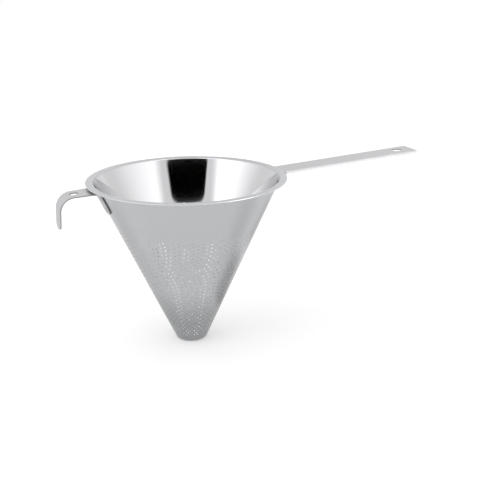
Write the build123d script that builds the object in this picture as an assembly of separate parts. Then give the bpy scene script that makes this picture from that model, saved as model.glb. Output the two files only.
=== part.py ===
from build123d import *
import os
from math import acos, asin, atan, cos, degrees, pi, radians, sin, sqrt, tan

# Chinois strainer: a perforated sheet cone with a turned-out rim, and a handle and a pan hook spot-welded to it.
# Origin at the middle of the flat tip, +Z up the cone's axis, handle towards +X, hook towards -X. Millimetres.

# Cone and rim
rim_radius = 100.0
rim_width = 6.9
cone_depth = 170.8
tip_radius = 15.55
cone_sheet = 0.8
rim_bend_radius = 1.2
rim_bend_flats = 3
tip_bend_radius = 5.0

# Straining holes, in staggered rings
hole_side = 5.0
holes_per_ring = 16
rings = 8
top_ring_below_rim = 46.9
bottom_ring_above_tip = 18.0

# Straps and their welded tabs
strap_sheet = 1.2
strap_bend_radius = 2.4
weld_gap = 0.3
tab_length = 24.5
tab_corner_radius = 8.0

# Handle, with its long edges turned down
handle_width = 26.8
handle_reach = 159.8
handle_rise_angle = 2.85
handle_edge_depth = 3.0
handle_edge_radius = 1.5
handle_corner_radius = 3.0
hang_hole_radius = 5.2
hang_hole_inset = 17.0

# Pan hook, narrowing from its tab to its drop
hook_below_rim = 2.4
hook_tab_width = 30.0
hook_rim_width = 26.8
hook_drop_width = 21.5
hook_reach = 30.4
hook_fall_angle = 2.6
hook_splay_angle = 3.0
hook_bend_radius = 13.8
hook_bend_steps = 6
hook_tip_below_rim = 36.6
hook_tip_crown = 4.0
hook_hole_radius = 4.3
hook_hole_from_rim = 13.3

# Spot welds, two rows of two on each tab
weld_radius = 2.2
weld_sides = 8
weld_clearance = 0.02
weld_across = 10.0
weld_first_row = 6.2
weld_row_pitch = 12.0

# How far a cutting tool runs past what it cuts
overrun = 2.0

mouth_radius = rim_radius - rim_width
lean = atan((mouth_radius - tip_radius) / cone_depth)
down_wall = Vector(-sin(lean), 0, -cos(lean))
off_wall = Vector(cos(lean), 0, -sin(lean))


def wall_outside(z):
    """Radius of the cone's outer face at a height."""
    return mouth_radius - (cone_depth - z) * tan(lean)


def wall_inside(z):
    """Radius of the cone's inner face at a height."""
    return wall_outside(z) - cone_sheet / cos(lean)


def point(x, z):
    """A point in the plane of the handle and the hook."""
    return Vector(x, 0, z)


def round_corner(face, corner, radius):
    """The face with its corner at a point rounded."""
    return fillet(face.vertices().sort_by_distance(corner)[0], radius)


def bend_points(before, corner, after, radius):
    """Points on the round of a sheet bend that is drawn as flats."""
    back, ahead = (before - corner).normalized(), (after - corner).normalized()
    half = acos(back.dot(ahead)) / 2
    turn = pi - 2 * half
    middle = corner + (back + ahead).normalized() * (radius / sin(half))
    start = corner + back * (radius / tan(half)) - middle
    end = corner + ahead * (radius / tan(half)) - middle
    shares = [step / rim_bend_flats for step in range(rim_bend_flats + 1)]
    return [middle + (start * sin((1 - share) * turn) + end * sin(share * turn)) / sin(turn) for share in shares]


def parallel(points, gap):
    """A bent line's copy at a gap to its right."""
    normals = []
    for start, end in zip(points, points[1:]):
        along = (end - start).normalized()
        normals.append(Vector(along.Z, 0, -along.X))
    corners = [points[0] + normals[0] * gap]
    for corner, before, after in zip(points[1:], normals, normals[1:]):
        corners.append(corner + (before + after) * (gap / (1 + before.dot(after))))
    corners.append(points[-1] + normals[-1] * gap)
    return corners


def strap_side(points, bends):
    """Side view of a strap one sheet below a bent line; bends gives a corner's number and inner radius."""
    below = parallel(points, strap_sheet)
    face = make_face(Polyline(*points, *reversed(below), close=True))
    for number, radius in bends:
        face = round_corner(face, points[number], radius + strap_sheet)
        face = round_corner(face, below[number], radius)
    return face


def tab_corner(seat):
    """Where a tab's inner face meets the level of the strap's top."""
    return point(wall_outside(seat) + weld_gap / cos(lean), seat)


def weld_places(seat):
    """Locations on the wall of a tab's four spot welds, each with its Z out of the wall."""
    places = []
    for row in range(2):
        foot = tab_corner(seat) + down_wall * (weld_first_row + row * weld_row_pitch) - off_wall * weld_gap
        for side in (-1, 1):
            turn = degrees(asin(side * weld_across / foot.X))
            places.append(Rot(0, 0, turn) * Plane(foot, x_dir=(0, 1, 0), z_dir=off_wall).location)
    return places


def make_tab(seat, width):
    """The end of a strap that is turned down the wall and follows its curve."""
    top = tab_corner(seat)
    end = top + down_wall * tab_length
    side = strap_side([end, top, point(rim_radius, seat)], [(1, strap_bend_radius)])
    ring = revolve(Rot(0, 0, -90) * side, Axis.Z, 180)
    low = (end + off_wall * strap_sheet).Z
    front = Pos(0, (seat + low) / 2) * Rectangle(width, seat - low)
    front = fillet(front.vertices().sort_by(Axis.Y)[:2], tab_corner_radius)
    return ring & extrude(Plane.YZ * front, rim_radius)


def make_cone():
    """The drawn cone, closed at its tip, before it is perforated."""
    under = cone_depth - cone_sheet
    edge_top, edge_low = point(rim_radius, cone_depth), point(rim_radius, under)
    inner_tip = point(wall_inside(cone_sheet), cone_sheet)
    outer_tip = point(tip_radius, 0)
    inner_bend = bend_points(edge_top, point(wall_inside(cone_depth), cone_depth), inner_tip,
                             rim_bend_radius + cone_sheet)
    outer_bend = bend_points(outer_tip, point(wall_outside(under), under), edge_low, rim_bend_radius)
    half = make_face(Polyline(edge_top, *inner_bend, inner_tip, point(0, cone_sheet), point(0, 0), outer_tip,
                              *outer_bend, edge_low, close=True))
    half = round_corner(half, inner_tip, tip_bend_radius - cone_sheet)
    half = round_corner(half, outer_tip, tip_bend_radius)
    return revolve(half, Axis.Z)


def straining_holes():
    """Cutters for the holes, square to the wall: rings of them, each turned half a space from the one above."""
    drop = (cone_depth - top_ring_below_rim - bottom_ring_above_tip) / (rings - 1)
    cutters = []
    for ring in range(rings):
        z = cone_depth - top_ring_below_rim - ring * drop
        middle = point(wall_outside(z), z) - off_wall * (cone_sheet / 2)
        side = Plane(middle, x_dir=down_wall, z_dir=(0, -1, 0)) * Rectangle(hole_side, cone_sheet + overrun)
        width = degrees(hole_side / middle.X)
        cutter = revolve(side, Axis.Z, width)
        for hole in range(holes_per_ring):
            cutters.append(Rot(0, 0, 360 / holes_per_ring * (hole + ring % 2 / 2) - width / 2) * cutter)
    return cutters


def make_handle():
    """The handle: tab, flat seat under the rim, and a rising arm with turned-down edges."""
    seat = cone_depth - cone_sheet - weld_gap
    rise = radians(handle_rise_angle)
    along = Vector(cos(rise), 0, sin(rise))
    up = Vector(-sin(rise), 0, cos(rise))
    length = handle_reach / cos(rise)
    bend = point(rim_radius, seat)
    outer = Pos(0, -handle_edge_depth / 2) * Rectangle(handle_width, handle_edge_depth)
    outer = fillet(outer.vertices().sort_by(Axis.Y)[-2:], handle_edge_radius)
    inner = Pos(0, -strap_sheet - handle_edge_depth / 2)
    inner *= Rectangle(handle_width - 2 * strap_sheet, handle_edge_depth)
    inner = fillet(inner.vertices().sort_by(Axis.Y)[-2:], handle_edge_radius - strap_sheet)
    arm = extrude(Plane(bend, x_dir=(0, 1, 0), z_dir=along).location * (outer - inner), length)

    # The turned edges start on a slant, and the far corners are rounded
    deep = handle_edge_depth + overrun
    slant = make_face(Polyline(bend - up * strap_sheet, bend - up * strap_sheet - along * overrun,
                               bend - up * deep - along * overrun,
                               bend - up * deep + along * (deep - strap_sheet), close=True))
    arm -= extrude(slant, handle_width, both=True)
    plan = Pos(rim_radius + handle_reach / 2, 0) * Rectangle(handle_reach, handle_width)
    plan = fillet(plan.vertices().sort_by(Axis.X)[-2:], handle_corner_radius)
    arm &= extrude(plan, seat + length)
    start = point(tab_corner(seat).X + strap_bend_radius + strap_sheet, seat)
    seat_side = strap_side([start, bend, bend + along * strap_sheet], [])
    arm += extrude(seat_side, handle_width / 2, both=True)
    arm += make_tab(seat, handle_width)
    hole_middle = bend + along * (length - hang_hole_inset)
    hole = Cylinder(hang_hole_radius, 2 * (strap_sheet + overrun))
    return arm - Plane(hole_middle, x_dir=along, z_dir=up).location * hole


def make_hook():
    """The pan hook: tab, short arm and a splayed drop with a crowned end."""
    seat = cone_depth - cone_sheet - hook_below_rim
    fall = radians(hook_fall_angle)
    splay = radians(hook_splay_angle)
    bend = point(rim_radius, seat)
    tip = point(rim_radius + hook_reach, cone_depth - hook_tip_below_rim)
    knee_z = seat - (tip.X + tip.Z * tan(splay) - rim_radius) * tan(fall)
    knee_z /= 1 - tan(splay) * tan(fall)
    knee = point(tip.X - (knee_z - tip.Z) * tan(splay), knee_z)
    start = point(tab_corner(seat).X + strap_bend_radius + strap_sheet, seat)
    side = strap_side([start, bend, knee, tip], [(2, hook_bend_radius)])
    arm = extrude(side, hook_tab_width / 2, both=True) + make_tab(seat, hook_tab_width)

    # Seen from above it narrows evenly along its length as far as the end of the bend
    straight = knee.X - rim_radius - hook_bend_radius
    narrowing = (hook_rim_width - hook_drop_width) / 2
    outline = [(0, hook_tab_width / 2), (tab_corner(seat).X, hook_tab_width / 2), (rim_radius, hook_rim_width / 2)]
    for step in range(hook_bend_steps + 1):
        turn = pi / 2 * step / hook_bend_steps
        gone = (straight + hook_bend_radius * turn) / (straight + hook_bend_radius * pi / 2)
        outline.append((rim_radius + straight + hook_bend_radius * sin(turn), hook_rim_width / 2 - narrowing * gone))
    outline.append((tip.X + overrun, hook_drop_width / 2))
    outline += [(x, -y) for x, y in reversed(outline)]
    arm &= extrude(make_face(Polyline(*outline, close=True)), cone_depth + overrun)

    half_tab = hook_tab_width / 2
    half_drop = hook_drop_width / 2
    shoulder = tip.Z + hook_tip_crown
    sides = Polyline((half_drop, shoulder), (half_tab, shoulder), (half_tab, cone_depth),
                     (-half_tab, cone_depth), (-half_tab, shoulder), (-half_drop, shoulder))
    front = make_face([sides, ThreePointArc((-half_drop, shoulder), (0, tip.Z), (half_drop, shoulder))])
    arm &= extrude(Plane.YZ * front, tip.X + overrun)
    hole_middle = bend + Vector(cos(fall), 0, -sin(fall)) * (hook_hole_from_rim / cos(fall))
    hole = Cylinder(hook_hole_radius, 2 * (strap_sheet + overrun))
    arm -= Plane(hole_middle, x_dir=(0, 1, 0), z_dir=(sin(fall), 0, cos(fall))).location * hole
    return Rot(0, 0, 180) * arm


def make_welds(seat, turn):
    """The four weld nuggets between a tab and the wall, as thick as the gap is at their edges."""
    nuggets = []
    for place in weld_places(seat):
        bend = Vector(place.position.X, place.position.Y, 0).length / cos(lean)
        thick = weld_gap - 2 * weld_clearance - bend + sqrt(bend ** 2 - weld_radius ** 2)
        disc = Pos(0, 0, weld_clearance) * extrude(RegularPolygon(weld_radius, weld_sides), thick)
        nuggets.append(Rot(0, 0, turn) * place * disc)
    return Compound(children=nuggets)


nodes = {
    "perforated_cone": make_cone() - straining_holes(),
    "handle": make_handle(),
    "pan_hook": make_hook(),
    "handle_spot_welds": make_welds(cone_depth - cone_sheet - weld_gap, 0),
    "hook_spot_welds": make_welds(cone_depth - cone_sheet - hook_below_rim, 180),
}
os.makedirs("parts", exist_ok=True)
for name, shape in nodes.items():
    export_step(shape, "parts/" + name + ".step")
    print(name, "volume", round(shape.volume, 1), "solids", len(shape.solids()))
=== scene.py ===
import math

import bpy
import numpy as np
from mathutils import Matrix, Vector


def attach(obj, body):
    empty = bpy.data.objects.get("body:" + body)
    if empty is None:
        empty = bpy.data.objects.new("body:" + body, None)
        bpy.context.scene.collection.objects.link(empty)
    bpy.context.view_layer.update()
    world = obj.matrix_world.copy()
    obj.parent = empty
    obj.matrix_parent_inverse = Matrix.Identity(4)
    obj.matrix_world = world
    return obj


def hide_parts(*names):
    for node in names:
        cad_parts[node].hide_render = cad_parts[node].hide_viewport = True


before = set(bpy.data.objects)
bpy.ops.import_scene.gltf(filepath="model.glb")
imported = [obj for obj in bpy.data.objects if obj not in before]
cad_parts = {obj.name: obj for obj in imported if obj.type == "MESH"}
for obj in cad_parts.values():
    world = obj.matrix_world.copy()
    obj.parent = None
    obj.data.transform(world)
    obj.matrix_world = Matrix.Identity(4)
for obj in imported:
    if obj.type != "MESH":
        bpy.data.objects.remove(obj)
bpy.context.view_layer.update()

# Sizes are in millimetres, and meshes are made in metres
MM = 0.001

# Cone and rim
RIM_RADIUS = 99.99
CONE_DEPTH = 170.8
MOUTH_RADIUS = 93.1
WALL_ANGLE = math.radians(24.42)
CONE_SHEET = 0.8
RIM_BEND = 1.6
TIP_BEND = 2.6
EDGE_ROUND = 0.25
CONE_SEGMENTS = 192
EDGE_STEPS = 5
SECTION_STEPS = (1, 8, 12, 8, 1)
WALL_FACING_SLACK = 0.01
ON_SECTION = 0.6
RING_LINE_RADIUS = 95.6
RING_LINE_WIDTH = 0.5
RING_LINE_DEPTH = 0.24
FLANGE_CROWN = 0.14

# Straining holes; slants are measured along the wall from the point where the wall's lines meet
HOLE_RADIUS = 0.86
HOLE_SIDES = 12
HOLES_PER_RING = 32
HOLE_RINGS = 60
TOP_RING_SLANT = 174.5
SLANT_LIMIT = 302.96
RING_GROWTH = 0.01167
RING_SHIFT = 55.5
MOST_SHIFT = 0.5
FIRST_HOLE_ANGLE = math.radians(-150.4)
DRILL_SHEETS = 3.0

# Painted shade: the outside's steel darkens towards the tip, standing in for the reflection of the shadowed floor
# under it
PAINTED_TIP_SHADE_BELOW = 20.0
PAINTED_TIP_SHADE_FROM = 70.0
PAINTED_TIP_SHADE = 0.64

# Painted highlight: brighter steel at the rim's edge, standing in for a lamp's glint along the lip
PAINTED_RIM_HIGHLIGHT = 1.25
PAINTED_RIM_HIGHLIGHT_WIDTH = 0.6

# Straps
STRAP_SHEET = 1.2
STRAP_BEND = 3.0
WELD_GAP = 0.3
TAB_LENGTH = 24.5
TAB_CORNER = 8.0
STRAP_EDGE_ROUND = 0.25
TAB_STEP = 0.7
SEAT_STEP = 1.5
FOLD_STEP = 0.5
ARM_STEP = 6.0
BEND_STEP = math.radians(6)
HOLE_CELLS = 8
HOLE_LOOPS = 3

# Handle
HANDLE_HALF_WIDTH = 13.4
HANDLE_REACH = 159.7
HANDLE_RISE = math.radians(2.84)
HANDLE_EDGE_DEPTH = 3.0
HANDLE_EDGE_BEND = 0.9
HANDLE_EDGE_START = 4.0
HANDLE_CORNER = 1.2
HANG_HOLE_RADIUS = 5.2
HANG_HOLE_INSET = 17.0
HANG_PATCH = 8.0

# Pan hook
HOOK_BELOW_RIM = 2.4
HOOK_TAB_HALF = 15.0
HOOK_RIM_HALF = 13.4
HOOK_DROP_HALF = 10.75
HOOK_REACH = 30.4
HOOK_FALL = math.radians(2.6)
HOOK_SPLAY = math.radians(3.0)
HOOK_BEND = 14.4
HOOK_TIP_BELOW_RIM = 36.6
HOOK_TIP_CROWN = 4.0
HOOK_HOLE_RADIUS = 4.3
HOOK_HOLE_FROM_RIM = 13.3
HOOK_PATCH = 6.4

# Spot welds
WELD_ACROSS = 10.0
WELD_FIRST_ROW = 6.2
WELD_ROW_PITCH = 12.0
WELD_MARK_RADIUS = 2.2
WELD_MARK_DEPTH = 0.3

# Shape of a weld's mark, in shares of its radius
WELD_DISH_FLAT = 0.55
WELD_DISH_SLOPE = 0.45
WELD_LIP_AT = 1.1
WELD_LIP_WIDTH = 0.16
WELD_LIP_HEIGHT = 0.35
WELD_TINT_FLAT = 0.7
WELD_TINT_FADE = 0.6

# Camera, fitted to the rim, the cone's sides and both straps
CAMERA_AZIMUTH = math.radians(-22.0)
CAMERA_ELEVATION = math.radians(18.082)
CAMERA_ROLL = math.radians(-0.726)
CAMERA_DISTANCE = 863.518
CAMERA_AIM_ACROSS = 52.237
CAMERA_AIM_BELOW_RIM = 65.926
CAMERA_LENS = 63.4985

SIN_WALL = math.sin(WALL_ANGLE)
COS_WALL = math.cos(WALL_ANGLE)
TAN_WALL = math.tan(WALL_ANGLE)
APEX_HEIGHT = CONE_DEPTH - MOUTH_RADIUS / TAN_WALL


def wall_outside(z):
    """Radius of the cone's outer face at a height."""
    return (z - APEX_HEIGHT) * TAN_WALL


# ---- bent lines


def bent_line(corners, bends):
    """A line in a side view with its corners rounded: runs of length, start, heading and curvature."""
    headings = [math.atan2(b[1] - a[1], b[0] - a[0]) for a, b in zip(corners, corners[1:])]
    runs = []
    here = corners[0]
    for corner, bend, before, after in zip(corners[1:], bends, headings, headings[1:]):
        turn = (after - before + math.pi) % (2 * math.pi) - math.pi
        back = bend * math.tan(abs(turn) / 2)
        runs.append((math.dist(here, corner) - back, here, before, 0.0))
        start = (corner[0] - back * math.cos(before), corner[1] - back * math.sin(before))
        if back > 0:
            runs.append((bend * abs(turn), start, before, math.copysign(1 / bend, turn)))
        here = (corner[0] + back * math.cos(after), corner[1] + back * math.sin(after))
    runs.append((math.dist(here, corners[-1]), here, headings[-1], 0.0))
    return runs


def run_starts(runs):
    """Distances along the line at which its runs start, and its end."""
    starts = [0.0]
    for run in runs:
        starts.append(starts[-1] + run[0])
    return starts


def along(runs, distance):
    """Place and heading at a distance along a bent line."""
    left = distance
    for length, start, heading, curve in runs:
        if left <= length or (length, start, heading, curve) == runs[-1]:
            break
        left -= length
    if curve == 0:
        return start[0] + left * math.cos(heading), start[1] + left * math.sin(heading), heading
    end = heading + curve * left
    x = start[0] + (math.sin(end) - math.sin(heading)) / curve
    z = start[1] - (math.cos(end) - math.cos(heading)) / curve
    return x, z, end


def smooth(value):
    """A smooth step from 0 to 1."""
    value = min(max(value, 0.0), 1.0)
    return value * value * (3 - 2 * value)


# ---- the cone


def cone_middle():
    """The line through the middle of the cone's sheet, from the tip's centre to the rim's edge."""
    half = CONE_SHEET / 2
    inward = half / COS_WALL
    low = (wall_outside(half) - inward, half)
    top = CONE_DEPTH - half
    high = (wall_outside(top) - inward, top)
    return bent_line([(0, half), low, high, (RIM_RADIUS, top)], [TIP_BEND, RIM_BEND])


def crowned(row):
    """A row of the cone's upper face, lowered towards the rim's edge, which is pressed down a little."""
    x, z, nx, nz = row
    across = RIM_RADIUS - MOUTH_RADIUS
    share = max(x - MOUTH_RADIUS, 0) / across
    slope = 2 * share * FLANGE_CROWN / across
    size = math.hypot(nx + slope, nz) if share else 1.0
    return x, z - share * share * FLANGE_CROWN, (nx + slope) / size if share else nx, nz / size


def in_the_cup(row):
    """Whether a row of the cone's upper face lies inside the cup, below the rim's bend."""
    return row[0] < MOUTH_RADIUS / 2 or row[2] < WALL_FACING_SLACK - COS_WALL


def cone_profile():
    """The cone's section, once round the sheet: rows of radius, height and the direction it faces."""
    runs = cone_middle()
    starts = run_starts(runs)
    stops = []
    for run, start, steps in zip(runs, starts, SECTION_STEPS):
        stops += [start + run[0] * step / steps for step in range(steps)]
    under, top = [], []
    half = CONE_SHEET / 2
    for stop in stops + [starts[-1] - EDGE_ROUND]:
        x, z, heading = along(runs, stop)
        nx, nz = math.sin(heading), -math.cos(heading)
        under.append((x + nx * half, z + nz * half, nx, nz))
        top.append((x - nx * half, z - nz * half, -nx, -nz))

    # A faint turned line runs round the top of the rim
    line = []
    for share, depth in ((-1.0, 0), (-0.5, 0.5), (0, 1.0), (0.5, 0.5), (1.0, 0)):
        slope = RING_LINE_DEPTH / RING_LINE_WIDTH * (1 if share < 0 else -1 if share > 0 else 0)
        size = math.hypot(1, slope)
        line.append((RING_LINE_RADIUS + share * RING_LINE_WIDTH, CONE_DEPTH - depth * RING_LINE_DEPTH,
                     slope / size * (abs(share) < 1), 1 / size))
    top = [crowned(row) for row in top[:-1] + line + top[-1:]]

    edge = []
    middle_z = CONE_DEPTH - half
    for side in (-1, 1):
        for step in range(1, EDGE_STEPS):
            turn = math.pi / 2 * step / EDGE_STEPS
            nx, nz = (math.sin(turn), -math.cos(turn)) if side < 0 else (math.cos(turn), math.sin(turn))
            edge.append((RIM_RADIUS - EDGE_ROUND + EDGE_ROUND * nx,
                         middle_z + side * (half - EDGE_ROUND) + EDGE_ROUND * nz, nx, nz))
    edge.insert(4, (RIM_RADIUS, middle_z - (half - EDGE_ROUND), 1, 0))
    edge.insert(5, (RIM_RADIUS, middle_z + (half - EDGE_ROUND), 1, 0))
    return under + edge + top[::-1], len(under) + len(edge) // 2


def cone_shell():
    """The cone before it is perforated, as a closed mesh; faces of its upper side carry the mark inside."""
    profile, turn_over = cone_profile()
    rows = profile[1:-1]
    vertices = [(0, 0, profile[0][1] * MM)]
    for x, z, _, _ in rows:
        for step in range(CONE_SEGMENTS):
            angle = 2 * math.pi * step / CONE_SEGMENTS
            vertices.append((x * math.cos(angle) * MM, x * math.sin(angle) * MM, z * MM))
    vertices.append((0, 0, profile[-1][1] * MM))
    last = len(vertices) - 1
    faces, inside = [], []
    for step in range(CONE_SEGMENTS):
        after = (step + 1) % CONE_SEGMENTS
        faces.append((0, 1 + after, 1 + step))
        inside.append(False)
        for row in range(len(rows) - 1):
            low, high = 1 + row * CONE_SEGMENTS, 1 + (row + 1) * CONE_SEGMENTS
            faces.append((low + step, low + after, high + after, high + step))
            inside.append(row + 1 >= turn_over and in_the_cup(rows[row]))
        top = 1 + (len(rows) - 1) * CONE_SEGMENTS
        faces.append((last, top + step, top + after))
        inside.append(True)
    mesh = bpy.data.meshes.new("cone")
    mesh.from_pydata(vertices, [], faces)
    mark = mesh.attributes.new("inside", "BOOLEAN", "FACE")
    mark.data.foreach_set("value", inside)
    mesh.update()
    return mesh


class Tree:
    """A node tree that is written down in short lines."""

    def __init__(self, tree):
        self.tree = tree

    def add(self, kind, settings=None, **inputs):
        """Adds a node, with its settings and its inputs; an input is a value or another node's output."""
        node = self.tree.nodes.new(kind)
        for name, value in (settings or {}).items():
            setattr(node, name, value)
        for name, value in inputs.items():
            self.feed(node.inputs[name.replace("_", " ")], value)
        return node

    def feed(self, socket, value):
        """Sets an input, or links it where the value is an output."""
        if isinstance(value, bpy.types.NodeSocket):
            self.tree.links.new(value, socket)
        else:
            socket.default_value = value

    def math(self, operation, *values):
        """A Math node's result."""
        node = self.tree.nodes.new("ShaderNodeMath")
        node.operation = operation
        for socket, value in zip(node.inputs, values):
            self.feed(socket, value)
        return node.outputs[0]


def straining_hole_tree():
    """Geometry Nodes: cuts rings of holes through the cone's wall, closer together near the rim."""
    group = bpy.data.node_groups.new("straining_holes", "GeometryNodeTree")
    sizes = {
        "Rings": ("Int", HOLE_RINGS), "Holes per ring": ("Int", HOLES_PER_RING), "Hole sides": ("Int", HOLE_SIDES),
        "Hole radius": ("Float", HOLE_RADIUS * MM), "Sheet": ("Float", CONE_SHEET * MM),
        "Top slant": ("Float", TOP_RING_SLANT * MM), "Slant limit": ("Float", SLANT_LIMIT * MM),
        "Growth": ("Float", RING_GROWTH), "Shift": ("Float", RING_SHIFT * MM), "Most shift": ("Float", MOST_SHIFT),
        "Wall angle": ("Float", WALL_ANGLE), "Apex height": ("Float", APEX_HEIGHT * MM),
        "First angle": ("Float", FIRST_HOLE_ANGLE),
    }
    group.interface.new_socket("Cone", in_out="INPUT", socket_type="NodeSocketGeometry")
    for name, (kind, value) in sizes.items():
        socket = group.interface.new_socket(name, in_out="INPUT", socket_type="NodeSocket" + kind)
        socket.default_value = value
    for name in ("Outside", "Inside", "Cut"):
        group.interface.new_socket(name, in_out="INPUT", socket_type="NodeSocketMaterial")
    group.interface.new_socket("Cone", in_out="OUTPUT", socket_type="NodeSocketGeometry")

    t = Tree(group)
    given = t.add("NodeGroupInput").outputs
    result = t.add("NodeGroupOutput")
    index = t.add("GeometryNodeInputIndex").outputs[0]
    rings = t.add("GeometryNodePoints", Count=given["Rings"]).outputs[0]

    # Each ring's slant, and its turn, which adds up the shifts of the rings above it
    spread = t.math("SUBTRACT", given["Slant limit"], given["Top slant"])
    grown = t.math("MULTIPLY", spread, t.math("EXPONENT", t.math("MULTIPLY", index, given["Growth"])))
    slant = t.math("SUBTRACT", given["Slant limit"], grown)
    rings = t.add("GeometryNodeStoreNamedAttribute", {"data_type": "FLOAT", "domain": "POINT"},
                  Geometry=rings, Name="slant", Value=slant).outputs[0]
    slant = t.add("GeometryNodeInputNamedAttribute", {"data_type": "FLOAT"}, Name="slant").outputs[0]
    share = t.math("MINIMUM", t.math("DIVIDE", given["Shift"], slant), given["Most shift"])
    total = t.add("GeometryNodeAccumulateField", {"data_type": "FLOAT", "domain": "POINT"}, Value=share)
    rings = t.add("GeometryNodeStoreNamedAttribute", {"data_type": "FLOAT", "domain": "POINT"},
                  Geometry=rings, Name="turn", Value=total.outputs["Trailing"]).outputs[0]
    turn = t.add("GeometryNodeInputNamedAttribute", {"data_type": "FLOAT"}, Name="turn").outputs[0]

    # Every ring's point becomes its holes' points
    copies = t.add("GeometryNodeDuplicateElements", {"domain": "POINT"}, Geometry=rings,
                   Amount=given["Holes per ring"])
    spacing = t.math("DIVIDE", math.tau, given["Holes per ring"])
    angle = t.math("MULTIPLY", t.math("SUBTRACT", copies.outputs["Duplicate Index"], turn), spacing)
    angle = t.math("ADD", angle, given["First angle"])
    sine, cosine = t.math("SINE", given["Wall angle"]), t.math("COSINE", given["Wall angle"])
    half = t.math("MULTIPLY", given["Sheet"], 0.5)
    radius = t.math("SUBTRACT", t.math("MULTIPLY", slant, sine), t.math("MULTIPLY", half, cosine))
    height = t.math("ADD", t.math("MULTIPLY", slant, cosine), t.math("MULTIPLY", half, sine))
    height = t.math("ADD", height, given["Apex height"])
    place = t.add("ShaderNodeCombineXYZ", X=t.math("MULTIPLY", radius, t.math("COSINE", angle)),
                  Y=t.math("MULTIPLY", radius, t.math("SINE", angle)), Z=height).outputs[0]
    points = t.add("GeometryNodeSetPosition", Geometry=copies.outputs["Geometry"], Position=place).outputs[0]
    tilt = t.add("ShaderNodeCombineXYZ", Y=t.math("ADD", given["Wall angle"], math.pi / 2), Z=angle).outputs[0]
    turned = t.add("FunctionNodeEulerToRotation", Euler=tilt).outputs[0]
    drill = t.add("GeometryNodeMeshCylinder", Vertices=given["Hole sides"], Radius=given["Hole radius"],
                  Depth=t.math("MULTIPLY", given["Sheet"], DRILL_SHEETS)).outputs["Mesh"]
    drill = t.add("GeometryNodeStoreNamedAttribute", {"data_type": "BOOLEAN", "domain": "FACE"}, Geometry=drill,
                  Name="cut", Value=True).outputs[0]
    drills = t.add("GeometryNodeInstanceOnPoints", Points=points, Instance=drill, Rotation=turned).outputs[0]
    drills = t.add("GeometryNodeRealizeInstances", Geometry=drills).outputs[0]

    cut = t.add("GeometryNodeMeshBoolean", {"operation": "DIFFERENCE", "solver": "MANIFOLD"})
    t.feed(cut.inputs["Mesh 1"], given["Cone"])
    t.feed(cut.inputs["Mesh 2"], drills)
    whole = t.add("GeometryNodeRealizeInstances", Geometry=cut.outputs["Mesh"]).outputs[0]
    whole = t.add("GeometryNodeSetMaterial", Geometry=whole, Material=given["Outside"]).outputs[0]
    marked = t.add("GeometryNodeInputNamedAttribute", {"data_type": "BOOLEAN"}, Name="inside")
    whole = t.add("GeometryNodeSetMaterial", Geometry=whole, Material=given["Inside"],
                  Selection=marked.outputs["Attribute"]).outputs[0]
    marked = t.add("GeometryNodeInputNamedAttribute", {"data_type": "BOOLEAN"}, Name="cut")
    whole = t.add("GeometryNodeSetMaterial", Geometry=whole, Material=given["Cut"],
                  Selection=marked.outputs["Attribute"]).outputs[0]
    t.feed(result.inputs["Cone"], whole)
    return group


def plain_mesh(obj, name):
    """The object's evaluated mesh as a plain mesh on it, with its modifiers removed."""
    depsgraph = bpy.context.evaluated_depsgraph_get()
    mesh = bpy.data.meshes.new_from_object(obj.evaluated_get(depsgraph), depsgraph=depsgraph)
    mesh.name = name
    obj.modifiers.clear()
    obj.data = mesh
    return mesh


def face_like_profile(mesh):
    """Gives the cone's two faces the smooth normals of its section; the holes' walls keep their own."""
    profile = np.array(cone_profile()[0])
    count = len(mesh.vertices)
    place = np.zeros(count * 3)
    mesh.vertices.foreach_get("co", place)
    place = place.reshape(-1, 3) / MM
    radius = np.hypot(place[:, 0], place[:, 1])
    best = np.full(count, np.inf)
    facing = np.zeros((count, 2))
    for start, end in zip(profile, profile[1:]):
        step = end[:2] - start[:2]
        share = ((radius - start[0]) * step[0] + (place[:, 2] - start[1]) * step[1]) / step.dot(step)
        share = np.clip(share, 0, 1)
        away = np.hypot(radius - start[0] - share * step[0], place[:, 2] - start[1] - share * step[1])
        nearer = away < best
        best[nearer] = away[nearer]
        facing[nearer] = (start[2:] + share[nearer, None] * (end[2:] - start[2:]))
    around = place[:, :2] / np.maximum(radius, 1e-9)[:, None]
    normal = np.column_stack([around * facing[:, :1], facing[:, 1]])
    normal /= np.linalg.norm(normal, axis=1)[:, None]

    loops = np.zeros(len(mesh.loops), np.int32)
    mesh.loops.foreach_get("vertex_index", loops)
    flat = np.zeros(len(mesh.polygons) * 3)
    mesh.polygons.foreach_get("normal", flat)
    flat = flat.reshape(-1, 3)
    sizes = np.zeros(len(mesh.polygons), np.int32)
    mesh.polygons.foreach_get("loop_total", sizes)
    owner = np.repeat(np.arange(len(sizes)), sizes)
    own = flat[owner]
    given = normal[loops]
    on_face = (own * given).sum(1) > ON_SECTION
    given[~on_face] = own[~on_face]
    mesh.polygons.foreach_set("use_smooth", np.ones(len(mesh.polygons), bool))
    mesh.normals_split_custom_set(given.tolist())


def make_cone(outside, inside, cut):
    """The strainer's cone with its rim and all its holes."""
    obj = bpy.data.objects.new("strainer_cone", cone_shell())
    bpy.context.scene.collection.objects.link(obj)
    modifier = obj.modifiers.new("straining_holes", "NODES")
    modifier.node_group = straining_hole_tree()
    sockets = {item.name: item.identifier for item in modifier.node_group.interface.items_tree
               if item.item_type == "SOCKET" and item.in_out == "INPUT"}
    modifier[sockets["Outside"]] = outside
    modifier[sockets["Inside"]] = inside
    modifier[sockets["Cut"]] = cut
    mesh = plain_mesh(obj, "strainer_cone")
    face_like_profile(mesh)
    return obj


# ---- the straps


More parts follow.
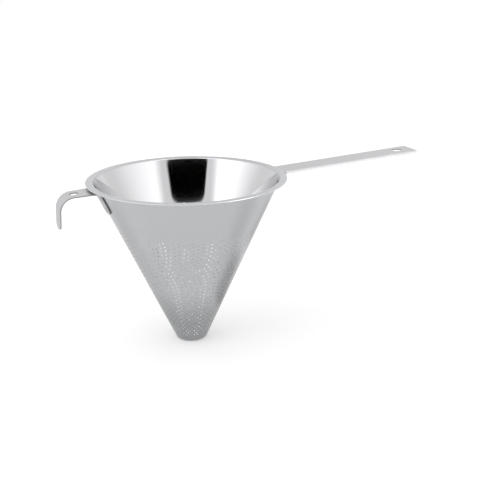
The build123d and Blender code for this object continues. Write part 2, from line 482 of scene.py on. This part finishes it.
class Strap:
    """A flat blank: its half width at each distance along it, its hole and its mesh lines."""

    def __init__(self, half_width, lines, hole_at, hole_radius, patch, stretches):
        self.half_width = half_width
        self.lines = lines
        self.hole_at = hole_at
        self.hole_radius = hole_radius
        self.patch = patch
        self.stretches = stretches

    def stations(self):
        """Distances along the strap of the mesh's cross lines."""
        stops = []
        for start, end, step in self.stretches:
            count = max(1, round((end - start) / step))
            stops += [start + (end - start) * i / count for i in range(count)]
        stops.append(self.stretches[-1][1])
        low, high = self.hole_at - self.patch, self.hole_at + self.patch
        clear = [s for s in stops if s < low - 0.3 or s > high + 0.3]
        cells = [low + (high - low) * i / HOLE_CELLS for i in range(HOLE_CELLS + 1)]
        return sorted(clear + cells), low, high


def strap_mesh(name, strap, shape):
    """A strap's middle surface as a mesh; shape(distance, across) places a point of the blank."""
    stations, low, high = strap.stations()
    lines = strap.lines
    first = next(i for i, v in enumerate(lines) if abs(v + strap.patch) < 1e-6)
    last = next(i for i, v in enumerate(lines) if abs(v - strap.patch) < 1e-6)
    start = next(i for i, s in enumerate(stations) if abs(s - low) < 1e-6)
    stop = next(i for i, s in enumerate(stations) if abs(s - high) < 1e-6)
    widest = lines[-1]
    blank = []
    number = {}
    for i, s in enumerate(stations):
        for j, v in enumerate(lines):
            if start < i < stop and first < j < last:
                continue
            number[i, j] = len(blank)
            blank.append((s, v * strap.half_width(s) / widest))
    faces = []
    for i in range(len(stations) - 1):
        for j in range(len(lines) - 1):
            if start <= i < stop and first <= j < last:
                continue
            faces.append((number[i, j], number[i + 1, j], number[i + 1, j + 1], number[i, j + 1]))
    loop = [(i, first) for i in range(start, stop)] + [(stop, j) for j in range(first, last)]
    loop += [(i, last) for i in range(stop, start, -1)] + [(start, j) for j in range(last, first, -1)]
    outer = [number[key] for key in loop]
    centre = strap.hole_at
    rim = []
    for key in outer:
        ds, dy = blank[key][0] - centre, blank[key][1]
        size = math.hypot(ds, dy)
        rim.append((centre + ds / size * strap.hole_radius, dy / size * strap.hole_radius))
    before = outer
    for step in range(1, HOLE_LOOPS + 1):
        share = step / HOLE_LOOPS
        ring = []
        for key, edge in zip(outer, rim):
            ring.append(len(blank))
            blank.append(tuple(a * (1 - share) + b * share for a, b in zip(blank[key], edge)))
        for k in range(len(ring)):
            after = (k + 1) % len(ring)
            faces.append((before[k], before[after], ring[after], ring[k]))
        before = ring
    mesh = bpy.data.meshes.new(name)
    mesh.from_pydata([tuple(c * MM for c in shape(s, y)) for s, y in blank], [], faces)
    layer = mesh.uv_layers.new(name="blank")
    flat = np.array(blank)[[loop.vertex_index for loop in mesh.loops]] * MM
    layer.data.foreach_set("uv", flat.ravel())
    return mesh


def finish_strap(name, mesh, turn, seat):
    """Gives a strap its thickness, rounded edges and weld marks, and puts it in place."""
    obj = bpy.data.objects.new(name, mesh)
    bpy.context.scene.collection.objects.link(obj)
    solid = obj.modifiers.new("thickness", "SOLIDIFY")
    solid.thickness = STRAP_SHEET * MM
    solid.offset = 0
    solid.use_even_offset = True
    # The rim faces, the strap's cut edges, take the dark edge steel: rough sheared metal, painted darker as shade for
    # the shadowed gaps along them
    solid.material_offset_rim = 1
    bevel = obj.modifiers.new("edges", "BEVEL")
    bevel.width = STRAP_EDGE_ROUND * MM
    bevel.segments = 2
    bevel.limit_method = "ANGLE"
    bevel.angle_limit = math.radians(50)
    mesh = plain_mesh(obj, name)
    mark_welds(mesh, seat)
    for vertex in mesh.vertices:
        x, y, z = vertex.co
        vertex.co = (x * turn, y * turn, z)
    mesh.polygons.foreach_set("use_smooth", np.ones(len(mesh.polygons), bool))
    weighted = obj.modifiers.new("even", "WEIGHTED_NORMAL")
    weighted.weight = 80
    weighted.keep_sharp = False
    plain_mesh(obj, name)
    return obj


def weld_spots(seat):
    """Places on the wall and directions off it of a tab's four spot welds."""
    spots = []
    corner = wall_outside(seat) + WELD_GAP / COS_WALL
    for row in range(2):
        down = WELD_FIRST_ROW + row * WELD_ROW_PITCH
        radius = corner - down * SIN_WALL
        height = seat - down * COS_WALL
        for side in (-1, 1):
            turn = math.asin(side * WELD_ACROSS / radius)
            around = Vector((math.cos(turn), math.sin(turn), 0))
            off = around * COS_WALL + Vector((0, 0, -SIN_WALL))
            spots.append((around * radius + Vector((0, 0, height)), off))
    return spots


def mark_welds(mesh, seat):
    """Presses a dish with a raised lip into a tab's outer face at each weld, and marks it."""
    marks = np.zeros(len(mesh.vertices))
    places = [vertex.co / MM for vertex in mesh.vertices]
    for place, off in weld_spots(seat):
        for vertex, at in zip(mesh.vertices, places):
            from_spot = at - place
            height = from_spot.dot(off)
            away = (from_spot - off * height).length / WELD_MARK_RADIUS
            if away > 2 or height < STRAP_SHEET / 2 or height > 2 * STRAP_SHEET:
                continue
            dish = 1 - smooth((away - WELD_DISH_FLAT) / WELD_DISH_SLOPE)
            lip = math.exp(-((away - WELD_LIP_AT) / WELD_LIP_WIDTH) ** 2)
            vertex.co -= off * (dish - WELD_LIP_HEIGHT * lip) * WELD_MARK_DEPTH * MM
            mark = 1 - smooth((away - WELD_TINT_FLAT) / WELD_TINT_FADE)
            marks[vertex.index] = max(marks[vertex.index], mark)
    layer = mesh.attributes.new("weld", "FLOAT", "POINT")
    layer.data.foreach_set("value", marks)


def tab_start(seat):
    """Where the middle line of a tab would meet the middle line of its seat."""
    middle = seat - STRAP_SHEET / 2
    off = WELD_GAP + STRAP_SHEET / 2
    return wall_outside(middle) + off / COS_WALL, middle


def drawn_in(distance, radius):
    """How far a round corner draws a side in, in radii, at a distance from the end."""
    return 1 - math.sqrt(1 - (1 - min(distance, radius) / radius) ** 2)


def round_the_cone(x, y, hug):
    """Distance from the axis's plane of a point on a tab that follows the cone, faded out by hug."""
    return x - hug * (x - math.sqrt(max(x * x - y * y, 0)))


def even_lines(edges):
    """Lines across a strap's half, from its middle out: (edge, number of cells up to it) pairs, mirrored."""
    half = [0.0]
    for edge, cells in edges:
        begin = half[-1]
        half += [begin + (edge - begin) * step / cells for step in range(1, cells + 1)]
    return [-v for v in half[:0:-1]] + half


def make_handle(material, edge):
    """The handle: tab on the cone, seat under the rim, rising arm with its long edges turned down."""
    seat = CONE_DEPTH - CONE_SHEET - WELD_GAP
    corner = tab_start(seat)
    low = (corner[0] - TAB_LENGTH * SIN_WALL, corner[1] - TAB_LENGTH * COS_WALL)
    knee = (RIM_RADIUS, corner[1])
    end = (RIM_RADIUS + HANDLE_REACH, corner[1] + HANDLE_REACH * math.tan(HANDLE_RISE))
    runs = bent_line([low, corner, knee, end], [STRAP_BEND, 0.0])
    starts = run_starts(runs)
    bend_end, rim_at, total = starts[2], starts[3], starts[-1]
    flat_half = HANDLE_HALF_WIDTH - STRAP_SHEET / 2 - HANDLE_EDGE_BEND
    rolled = math.pi / 2 * HANDLE_EDGE_BEND
    lip = HANDLE_EDGE_DEPTH - STRAP_SHEET / 2 - HANDLE_EDGE_BEND
    blank_half = flat_half + rolled + lip

    def half_width(s):
        folded = smooth((s - rim_at) / HANDLE_EDGE_START)
        half = HANDLE_HALF_WIDTH + (blank_half - HANDLE_HALF_WIDTH) * folded
        end_corner = HANDLE_CORNER + blank_half - HANDLE_HALF_WIDTH
        half -= end_corner * drawn_in(total - s, HANDLE_CORNER)
        return half - TAB_CORNER * drawn_in(s, TAB_CORNER)

    def shape(s, y):
        x, z, heading = along(runs, s)
        fold = math.pi / 2 * smooth((s - rim_at) / HANDLE_EDGE_START)
        past = abs(y) - flat_half
        across, drop = abs(y), 0.0
        if past > 0 and fold > 0:
            curve = fold / rolled
            bent = min(past, rolled)
            across = flat_half + math.sin(curve * bent) / curve
            drop = (1 - math.cos(curve * bent)) / curve
            if past > rolled:
                across += (past - rolled) * math.cos(fold)
                drop += (past - rolled) * math.sin(fold)
        hug = 1 - smooth((s - bend_end) / (rim_at - bend_end))
        x = round_the_cone(x, y, hug) + drop * math.sin(heading)
        return x, math.copysign(across, y), z - drop * math.cos(heading)

    lines = even_lines([(HANG_PATCH, HOLE_CELLS // 2), (flat_half, 4), (flat_half + rolled, 4), (blank_half, 2)])
    folded_at = rim_at + HANDLE_EDGE_START
    corner_stops = [total - HANDLE_CORNER * (1 - math.sin(math.pi / 2 * k / 6)) for k in range(7)]
    stretches = [(0, TAB_CORNER, TAB_STEP / 2), (TAB_CORNER, starts[1], TAB_STEP),
                 (starts[1], bend_end, STRAP_BEND * BEND_STEP), (bend_end, rim_at, SEAT_STEP),
                 (rim_at, folded_at, FOLD_STEP), (folded_at, corner_stops[0], ARM_STEP)]
    stretches += [(a, b, b - a) for a, b in zip(corner_stops, corner_stops[1:])]
    strap = Strap(half_width, lines, total - HANG_HOLE_INSET, HANG_HOLE_RADIUS, HANG_PATCH,
                  stretches)
    mesh = strap_mesh("handle_strap", strap, shape)
    mesh.materials.append(material)
    mesh.materials.append(edge)
    return finish_strap("handle_strap", mesh, 1, seat)


def make_hook(material, edge):
    """The pan hook: tab on the cone, short arm, round bend and a splayed drop with a crowned end."""
    seat = CONE_DEPTH - CONE_SHEET - HOOK_BELOW_RIM
    corner = tab_start(seat)
    low = (corner[0] - TAB_LENGTH * SIN_WALL, corner[1] - TAB_LENGTH * COS_WALL)
    rim_point = (RIM_RADIUS, corner[1])
    tip = (RIM_RADIUS + HOOK_REACH - STRAP_SHEET / 2, CONE_DEPTH - HOOK_TIP_BELOW_RIM)
    rise = math.tan(HOOK_SPLAY)
    drop_z = corner[1] - (tip[0] + tip[1] * rise - RIM_RADIUS) * math.tan(HOOK_FALL)
    drop_z /= 1 - rise * math.tan(HOOK_FALL)
    knee = (tip[0] - (drop_z - tip[1]) * rise, drop_z)
    runs = bent_line([low, corner, rim_point, knee, tip], [STRAP_BEND, 0.0, HOOK_BEND])
    starts = run_starts(runs)
    bend_end, rim_at, total = starts[2], starts[3], starts[-1]
    drop_at = starts[5]

    def half_width(s):
        near_rim = smooth((s - starts[1]) / (rim_at - starts[1]))
        half = HOOK_TAB_HALF - (HOOK_TAB_HALF - HOOK_RIM_HALF) * near_rim
        gone = min(max((s - rim_at) / (drop_at - rim_at), 0.0), 1.0)
        half -= (HOOK_RIM_HALF - HOOK_DROP_HALF) * gone
        return half - TAB_CORNER * drawn_in(s, TAB_CORNER)

    arc = (HOOK_DROP_HALF ** 2 + HOOK_TIP_CROWN ** 2) / (2 * HOOK_TIP_CROWN)

    def shape(s, y):
        if s > drop_at:
            short = arc - math.sqrt(arc * arc - y * y)
            s -= short * ((s - drop_at) / (total - drop_at))
        x, z, _ = along(runs, s)
        hug = 1 - smooth((s - bend_end) / (rim_at - bend_end))
        return round_the_cone(x, y, hug), y, z

    lines = even_lines([(HOOK_PATCH, HOLE_CELLS // 2), (HOOK_TAB_HALF, 8)])
    stretches = [(0, TAB_CORNER, TAB_STEP / 2), (TAB_CORNER, starts[1], TAB_STEP),
                 (starts[1], bend_end, STRAP_BEND * BEND_STEP), (bend_end, rim_at, SEAT_STEP),
                 (rim_at, starts[4], SEAT_STEP),
                 (starts[4], drop_at, HOOK_BEND * BEND_STEP / 1.5), (drop_at, total, SEAT_STEP)]
    hole_at = rim_at + HOOK_HOLE_FROM_RIM / math.cos(HOOK_FALL)
    strap = Strap(half_width, lines, hole_at, HOOK_HOLE_RADIUS, HOOK_PATCH, stretches)
    mesh = strap_mesh("hook_strap", strap, shape)
    mesh.materials.append(material)
    mesh.materials.append(edge)
    return finish_strap("hook_strap", mesh, -1, seat)


# ---- finishes


def new_material(name):
    """An empty node material with its shader and output."""
    material = bpy.data.materials.new(name)
    material.use_nodes = True
    tree = Tree(material.node_tree)
    material.node_tree.nodes.clear()
    shader = tree.add("ShaderNodeBsdfPrincipled")
    shader.inputs["Metallic"].default_value = 1.0
    output = tree.add("ShaderNodeOutputMaterial")
    tree.feed(output.inputs["Surface"], shader.outputs[0])
    return material, tree, shader


def steel(name, colour, worn, roughness, lines, strength, patch_size, coordinates):
    """Stainless steel with fine lines along one direction and faint patches of wear."""
    material, t, shader = new_material(name)
    stretched, place = coordinates(t)
    fine = t.add("ShaderNodeTexNoise", {"noise_dimensions": "3D"}, Vector=stretched,
                 Scale=lines, Detail=3.0, Roughness=0.6).outputs[0]
    patches = t.add("ShaderNodeTexNoise", {"noise_dimensions": "3D"}, Vector=place,
                    Scale=patch_size, Detail=2.0, Roughness=0.5).outputs[0]
    wear = t.math("ADD", t.math("MULTIPLY", fine, 0.6), t.math("MULTIPLY", patches, 0.4))
    tint = t.add("ShaderNodeMix", {"data_type": "RGBA"})
    t.feed(tint.inputs["Factor"], wear)
    t.feed(tint.inputs[6], (*colour, 1))
    t.feed(tint.inputs[7], (*worn, 1))
    t.feed(shader.inputs["Base Color"], tint.outputs[2])
    rough = t.add("ShaderNodeMapRange", Value=wear, To_Min=roughness[0], To_Max=roughness[1]).outputs[0]
    t.feed(shader.inputs["Roughness"], rough)
    bump = t.add("ShaderNodeBump", Strength=strength, Distance=0.00002, Height=fine).outputs[0]
    t.feed(shader.inputs["Normal"], bump)
    return material, t, shader


def around_axis(t):
    """Coordinates for lines turned round the axis: slow round it, quick along the sheet."""
    place = t.add("ShaderNodeTexCoord").outputs["Object"]
    parts = t.add("ShaderNodeSeparateXYZ", Vector=place).outputs
    radius = t.math("SQRT", t.math("ADD", t.math("MULTIPLY", parts["X"], parts["X"]),
                                   t.math("MULTIPLY", parts["Y"], parts["Y"])))
    run = t.math("ADD", radius, parts["Z"])
    stretched = t.add("ShaderNodeCombineXYZ", X=t.math("MULTIPLY", parts["X"], 0.012),
                      Y=t.math("MULTIPLY", parts["Y"], 0.012), Z=run).outputs[0]
    return stretched, place


def along_strap(t):
    """Coordinates for lines along a strap's flat blank."""
    place = t.add("ShaderNodeUVMap", {"uv_map": "blank"}).outputs[0]
    parts = t.add("ShaderNodeSeparateXYZ", Vector=place).outputs
    stretched = t.add("ShaderNodeCombineXYZ", X=t.math("MULTIPLY", parts["X"], 0.02), Y=parts["Y"], Z=0.0).outputs[0]
    return stretched, place


def scale_colour(t, shader, shade):
    """Makes the steel's colour darker or brighter by a shade."""
    before = shader.inputs["Base Color"].links[0].from_socket
    scaled = t.add("ShaderNodeVectorMath", {"operation": "SCALE"}, Scale=shade)
    t.feed(scaled.inputs[0], before)
    t.feed(shader.inputs["Base Color"], scaled.outputs[0])


def darken_the_tip_as_painted_shade(t, shader):
    """Darkens the steel towards the tip: painted shade, standing in for the reflection of the shadowed floor beneath
    the tip.
    """
    height = t.add("ShaderNodeSeparateXYZ", Vector=t.add("ShaderNodeTexCoord").outputs["Object"]).outputs["Z"]
    shade = t.add("ShaderNodeMapRange", {"interpolation_type": "SMOOTHSTEP"}, Value=height,
                  From_Min=PAINTED_TIP_SHADE_BELOW * MM, From_Max=PAINTED_TIP_SHADE_FROM * MM, To_Min=PAINTED_TIP_SHADE, To_Max=1.0).outputs[0]
    scale_colour(t, shader, shade)


def brighten_the_rim_edge_as_painted_highlight(t, shader):
    """Brightens the rim's outer edge: a painted highlight, standing in for a lamp's glint along the lip."""
    parts = t.add("ShaderNodeSeparateXYZ", Vector=t.add("ShaderNodeTexCoord").outputs["Object"]).outputs
    radius = t.math("SQRT", t.math("ADD", t.math("MULTIPLY", parts["X"], parts["X"]),
                                   t.math("MULTIPLY", parts["Y"], parts["Y"])))
    shade = t.add("ShaderNodeMapRange", {"interpolation_type": "SMOOTHSTEP"}, Value=radius,
                  From_Min=(RIM_RADIUS - PAINTED_RIM_HIGHLIGHT_WIDTH) * MM, From_Max=(RIM_RADIUS - EDGE_ROUND) * MM, To_Min=1.0,
                  To_Max=PAINTED_RIM_HIGHLIGHT).outputs[0]
    scale_colour(t, shader, shade)


def strap_steel(name):
    """Satin steel for the straps, duller in the weld marks."""
    material, t, shader = steel(name, (0.60, 0.60, 0.61), (0.50, 0.50, 0.51), (0.42, 0.54),
                                2600.0, 0.5, 60.0, along_strap)
    weld = t.add("ShaderNodeAttribute", {"attribute_name": "weld"}).outputs["Fac"]
    before = shader.inputs["Base Color"].links[0].from_socket
    dull = t.add("ShaderNodeMix", {"data_type": "RGBA"})
    t.feed(dull.inputs["Factor"], t.math("MULTIPLY", weld, 0.6))
    t.feed(dull.inputs[6], before)
    t.feed(dull.inputs[7], (0.33, 0.32, 0.31, 1))
    t.feed(shader.inputs["Base Color"], dull.outputs[2])
    return material


# ---- the studio


def aim(obj, eye, target):
    """Puts a panel at eye and turns it to face target."""
    obj.location = eye
    obj.rotation_euler = (Vector(target) - Vector(eye)).to_track_quat("-Z", "Y").to_euler()


def panel(name, place, size, soft, clear_from, bow, strength, lights, fade=2.0):
    """A glowing or black panel that faces the cup, with soft borders, seen only in the steel.

    soft is how wide its left, right, lower and upper borders are, and a border fades from
    clear_from of its width to nothing. With lights it lights matt surfaces too.
    """
    azimuth, elevation, distance = place
    width, height = size[0] / 2, size[1] / 2
    reach = height + bow * width * width
    mesh = bpy.data.meshes.new(name)
    mesh.from_pydata([(-width, -reach, 0), (width, -reach, 0), (width, reach, 0), (-width, reach, 0)], [],
                     [(0, 1, 2, 3)])
    obj = bpy.data.objects.new(name, mesh)
    bpy.context.scene.collection.objects.link(obj)
    a, e = math.radians(azimuth), math.radians(elevation)
    target = Vector((0, 0, CONE_DEPTH * 0.8 * MM))
    away = Vector((math.sin(a) * math.cos(e), -math.cos(a) * math.cos(e), math.sin(e)))
    aim(obj, target + away * distance, target)

    material = bpy.data.materials.new(name)
    material.use_nodes = True
    t = Tree(material.node_tree)
    material.node_tree.nodes.clear()
    parts = t.add("ShaderNodeSeparateXYZ", Vector=t.add("ShaderNodeTexCoord").outputs["Object"]).outputs
    across = parts["X"]
    upward = t.math("SUBTRACT", parts["Y"], t.math("MULTIPLY", bow, t.math("MULTIPLY", across, across)))
    squares = []
    for value, half, (low, high) in ((across, width, soft[:2]), (upward, height, soft[2:])):
        near_low = t.add("ShaderNodeMapRange", Value=value, From_Min=low - half, From_Max=-half).outputs[0]
        near_high = t.add("ShaderNodeMapRange", Value=value, From_Min=half - high, From_Max=half).outputs[0]
        near = t.math("MAXIMUM", near_low, near_high)
        squares.append(t.math("MULTIPLY", near, near))
    out = t.math("SQRT", t.math("ADD", *squares))
    cover = t.add("ShaderNodeMapRange", {"interpolation_type": "SMOOTHSTEP"}, Value=out, From_Min=1.0,
                  From_Max=clear_from).outputs[0]
    cover = t.math("POWER", cover, fade)
    glow = t.add("ShaderNodeEmission", Strength=strength).outputs[0]
    clear = t.add("ShaderNodeBsdfTransparent").outputs[0]
    mix = t.add("ShaderNodeMixShader", Fac=cover)
    t.feed(mix.inputs[1], clear)
    t.feed(mix.inputs[2], glow)
    output = t.add("ShaderNodeOutputMaterial")
    t.feed(output.inputs["Surface"], mix.outputs[0])
    mesh.materials.append(material)
    obj.visible_camera = False
    obj.visible_shadow = False
    obj.visible_diffuse = lights


def make_camera():
    """The camera at the photograph's viewing angle."""
    a, e = CAMERA_AZIMUTH, CAMERA_ELEVATION
    back = Vector((math.sin(a) * math.cos(e), -math.cos(a) * math.cos(e), math.sin(e)))
    right = Vector((math.cos(a), math.sin(a), 0))
    up = back.cross(right)
    level, upright = math.cos(CAMERA_ROLL), math.sin(CAMERA_ROLL)
    across = right * level + up * upright
    above = up * level - right * upright
    target = right * CAMERA_AIM_ACROSS + Vector((0, 0, CONE_DEPTH - CAMERA_AIM_BELOW_RIM))
    eye = (target + back * CAMERA_DISTANCE) * MM
    data = bpy.data.cameras.new("camera")
    data.lens = CAMERA_LENS
    data.sensor_width = 36.0
    data.sensor_fit = "HORIZONTAL"
    data.clip_start = 0.01
    obj = bpy.data.objects.new("camera", data)
    bpy.context.scene.collection.objects.link(obj)
    obj.matrix_world = Matrix.Translation(eye) @ Matrix((across, above, back)).transposed().to_4x4()
    bpy.context.scene.camera = obj


def make_floor():
    """A pale floor that looks white to the camera and in the steel, and keeps the shadow."""
    mesh = bpy.data.meshes.new("floor")
    size = 6.0
    mesh.from_pydata([(-size, -size, 0), (size, -size, 0), (size, size, 0), (-size, size, 0)], [], [(0, 1, 2, 3)])
    obj = bpy.data.objects.new("floor", mesh)
    obj.location = (0, 0, -0.0005)
    bpy.context.scene.collection.objects.link(obj)
    material = bpy.data.materials.new("pale_floor")
    material.use_nodes = True
    t = Tree(material.node_tree)
    material.node_tree.nodes.clear()
    rays = t.add("ShaderNodeLightPath").outputs
    seen = t.math("MAXIMUM", rays["Is Camera Ray"], rays["Is Transmission Ray"])
    mirrored = rays["Is Glossy Ray"]
    paint = t.math("SUBTRACT", 0.86, t.math("MULTIPLY", mirrored, 0.46))
    diffuse = t.add("ShaderNodeBsdfDiffuse", Color=paint).outputs[0]
    lift = t.math("ADD", t.math("MULTIPLY", seen, 0.22), t.math("MULTIPLY", mirrored, 0.55))
    white = t.add("ShaderNodeEmission", Color=(1, 1, 1, 1), Strength=lift).outputs[0]
    both = t.add("ShaderNodeAddShader")
    t.feed(both.inputs[0], diffuse)
    t.feed(both.inputs[1], white)
    below = t.add("ShaderNodeMixShader", Fac=t.add("ShaderNodeNewGeometry").outputs["Backfacing"])
    t.feed(below.inputs[1], both.outputs[0])
    t.feed(below.inputs[2], t.add("ShaderNodeBsdfTransparent").outputs[0])
    output = t.add("ShaderNodeOutputMaterial")
    t.feed(output.inputs["Surface"], below.outputs[0])
    mesh.materials.append(material)


def make_world():
    """An even white studio."""
    world = bpy.data.worlds.new("studio")
    world.use_nodes = True
    bpy.context.scene.world = world
    t = Tree(world.node_tree)
    world.node_tree.nodes.clear()
    background = t.add("ShaderNodeBackground", Color=(1, 1, 1, 1), Strength=1.0).outputs[0]
    output = t.add("ShaderNodeOutputWorld")
    t.feed(output.inputs["Surface"], background)


# ---- the strainer

outside, t, shader = steel("satin_cone_outside", (0.55, 0.555, 0.567), (0.51, 0.515, 0.528),
                           (0.24, 0.34), 2200.0, 0.4, 40.0, around_axis)
inside, _, _ = steel("polished_cone_inside", (0.62, 0.62, 0.63), (0.58, 0.58, 0.59),
                     (0.03, 0.05), 2200.0, 0.03, 40.0, around_axis)
cut, _, _ = steel("punched_hole_edge", (0.66, 0.66, 0.66), (0.56, 0.56, 0.56),
                  (0.40, 0.60), 4000.0, 0.2, 300.0, around_axis)
# Painted shade on the outside, darker towards the tip
darken_the_tip_as_painted_shade(t, shader)
# Painted highlight on the outside, along the rim's edge
brighten_the_rim_edge_as_painted_highlight(t, shader)
cone = make_cone(outside, inside, cut)
# Dark steel for the straps' cut edges: rough sheared metal, painted darker as shade for the shadowed gaps beside them
edge, _, _ = steel("sheared_strap_edge_and_painted_shade", (0.36, 0.36, 0.37), (0.26, 0.26, 0.27),
                   (0.4, 0.6), 900.0, 0.5, 200.0, around_axis)
handle = make_handle(strap_steel("satin_handle"), edge)
hook = make_hook(strap_steel("satin_hook"), edge)

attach(cone, "root")
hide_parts("perforated_cone")
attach(handle, "root")
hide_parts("handle")
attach(hook, "root")
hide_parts("pan_hook")

weld_metal, _, _ = steel("spot_weld_metal", (0.40, 0.39, 0.38), (0.30, 0.29, 0.28),
                         (0.4, 0.55), 1500.0, 0.4, 300.0, around_axis)
for name in ("handle_spot_welds", "hook_spot_welds"):
    weld_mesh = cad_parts[name].data
    weld_mesh.materials.clear()
    weld_mesh.materials.append(weld_metal)

bpy.context.scene.view_settings.view_transform = "Standard"
make_world()
make_floor()
make_camera()
panel("left_softbox", (-112, 36, 1.5), (3.2, 1.7), (3.2, 0.85, 0.5, 0.3), 0.0, 0.0, 2.8, True)
panel("right_softbox", (66, 36, 1.5), (2.34, 1.7), (0.5, 2.5, 0.5, 0.3), 0.0, 0.0, 1.85, False, 1.0)
panel("left_top_light", (-66, 64, 1.5), (0.8, 0.6), (0.2, 0.2, 0.15, 0.15), 0.0, 0.0, 3.8, False)
panel("right_top_light", (36, 66, 1.5), (0.75, 0.6), (0.2, 0.2, 0.15, 0.15), 0.0, 0.0, 3.8, False)
panel("back_light", (158, 42, 1.6), (3.6, 1.3), (0.8, 0.8, 0.3, 0.3), 0.0, 0.0, 1.0, False)
panel("handle_light", (133, 18, 1.7), (1.4, 0.9), (0.3, 0.6, 0.2, 0.2), 0.0, 0.0, 1.1, False)
panel("edge_light", (39, -7, 0.62), (0.5, 0.26), (0.12, 0.12, 0.06, 0.06), 0.0, 0.0, 4.0, False)
panel("back_card", (158, 12, 0.47), (0.28, 0.13), (0.07, 0.07, 0.04, 0.04), 0.0, 0.0, 0.65, False, 1.0)
panel("right_card", (49, -25, 0.13), (0.08, 0.10), (0.03, 0.03, 0.03, 0.03), 0.0, 0.0, 0.77, False)
panel("far_right_card", (96, -22, 0.14), (0.06, 0.10), (0.02, 0.02, 0.03, 0.03), 0.0, 0.0, 0.62, False)
panel("low_right_card", (78, -58, 0.15), (0.12, 0.13), (0.04, 0.04, 0.04, 0.04), 0.0, 0.0, 0.48, False)
panel("left_card", (-115, -45, 0.12), (0.12, 0.18), (0.04, 0.04, 0.03, 0.03), 0.0, 0.0, 0.8, False)
panel("black_slot", (-19.0, 36.97, 1.6), (1.53, 0.162), (0.24, 0.42, 0.032, 0.032),
      0.7, 0.14, 0.0, False, 1.0)
panel("black_board", (-22, 53, 1.6), (0.8, 0.5), (0.1, 0.1, 0.1, 0.1), 0.0, 0.0, 0.0, False, 1.0)
